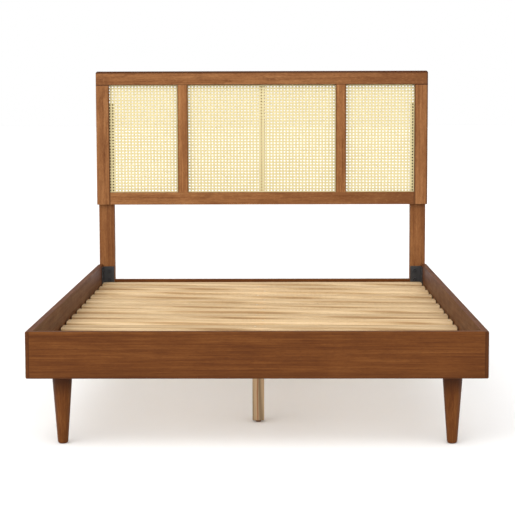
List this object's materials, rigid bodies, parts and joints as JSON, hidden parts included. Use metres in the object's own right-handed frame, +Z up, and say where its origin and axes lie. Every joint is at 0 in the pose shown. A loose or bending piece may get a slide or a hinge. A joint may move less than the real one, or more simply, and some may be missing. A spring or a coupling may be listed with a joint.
{
  "type": "wooden bed frame",
  "caption": "Low wooden platform bed frame with a framed woven-cane headboard, slats on a centre beam, turned tapered front legs and levelling centre feet.",
  "frame": {"origin": "on the floor at the middle of the frame's plan", "axes": "+X to the right seen from the foot, +Y from the foot to the headboard, +Z up"},
  "size_m": [1.463, 1.994, 1.235],
  "materials": {
    "stained_wood": "solid wood, warm brown stain, satin lacquer",
    "bare_pine": "planed softwood, unfinished",
    "slat_wood": "planed softwood slats, unfinished",
    "dowel_wood": "beech dowel, unfinished",
    "cane": "natural woven cane webbing",
    "reed": "natural reed spline, glued in",
    "black_paint": "black powder-coated steel plate",
    "black_steel": "black oxide steel",
    "zinc_steel": "zinc-plated steel",
    "foot_plastic": "moulded dark plastic on a steel stud"
  },
  "bodies": {
    "root": {"headboard_top_rail": "stained_wood", "headboard_bottom_rail": "stained_wood", "headboard_stile_left": "stained_wood", "headboard_stile_right": "stained_wood", "headboard_mullion_left": "stained_wood", "headboard_mullion_right": "stained_wood", "headboard_batten": "bare_pine", "cane_panel_left": "cane", "cane_panel_centre": "cane", "cane_panel_right": "cane", "cane_spline_left": "reed", "cane_spline_centre": "reed", "cane_spline_right": "reed", "headboard_post_left": "stained_wood", "headboard_post_right": "stained_wood", "head_cross_rail": "stained_wood", "dowels": "dowel_wood", "headboard_bolts": "black_steel", "threaded_inserts": "zinc_steel", "side_rail_left": "stained_wood", "side_rail_right": "stained_wood", "foot_rail": "stained_wood", "ledger_left": "bare_pine", "ledger_right": "bare_pine", "head_bracket_left": "black_paint", "head_bracket_right": "black_paint", "foot_bracket_left": "black_paint", "foot_bracket_right": "black_paint", "bracket_bolts": "black_steel", "short_wood_screws": "zinc_steel", "long_wood_screws": "zinc_steel", "leg_block_left": "bare_pine", "leg_block_right": "bare_pine", "tapered_leg_left": "stained_wood", "tapered_leg_right": "stained_wood", "leg_hanger_bolts": "zinc_steel", "leg_nuts": "zinc_steel", "centre_beam": "bare_pine", "beam_hanger_foot": "black_paint", "beam_hanger_head": "black_paint", "support_leg_front": "bare_pine", "support_leg_rear": "bare_pine", "support_leg_bolts": "black_steel", "slat_01": "slat_wood", "slat_02": "slat_wood", "slat_03": "slat_wood", "slat_04": "slat_wood", "slat_05": "slat_wood", "slat_06": "slat_wood", "slat_07": "slat_wood", "slat_08": "slat_wood", "slat_09": "slat_wood", "slat_10": "slat_wood", "slat_11": "slat_wood", "slat_12": "slat_wood", "slat_13": "slat_wood", "slat_14": "slat_wood"},
    "front_foot": {"levelling_foot_front": "foot_plastic"},
    "rear_foot": {"levelling_foot_rear": "foot_plastic"}
  },
  "joints": [
    {"name": "front_foot_height", "type": "slide", "parent": "root", "child": "front_foot", "axis": [0, 0, 1], "range_m": [-0.012, 0]},
    {"name": "rear_foot_height", "type": "slide", "parent": "root", "child": "rear_foot", "axis": [0, 0, 1], "range_m": [-0.012, 0]}
  ]
}
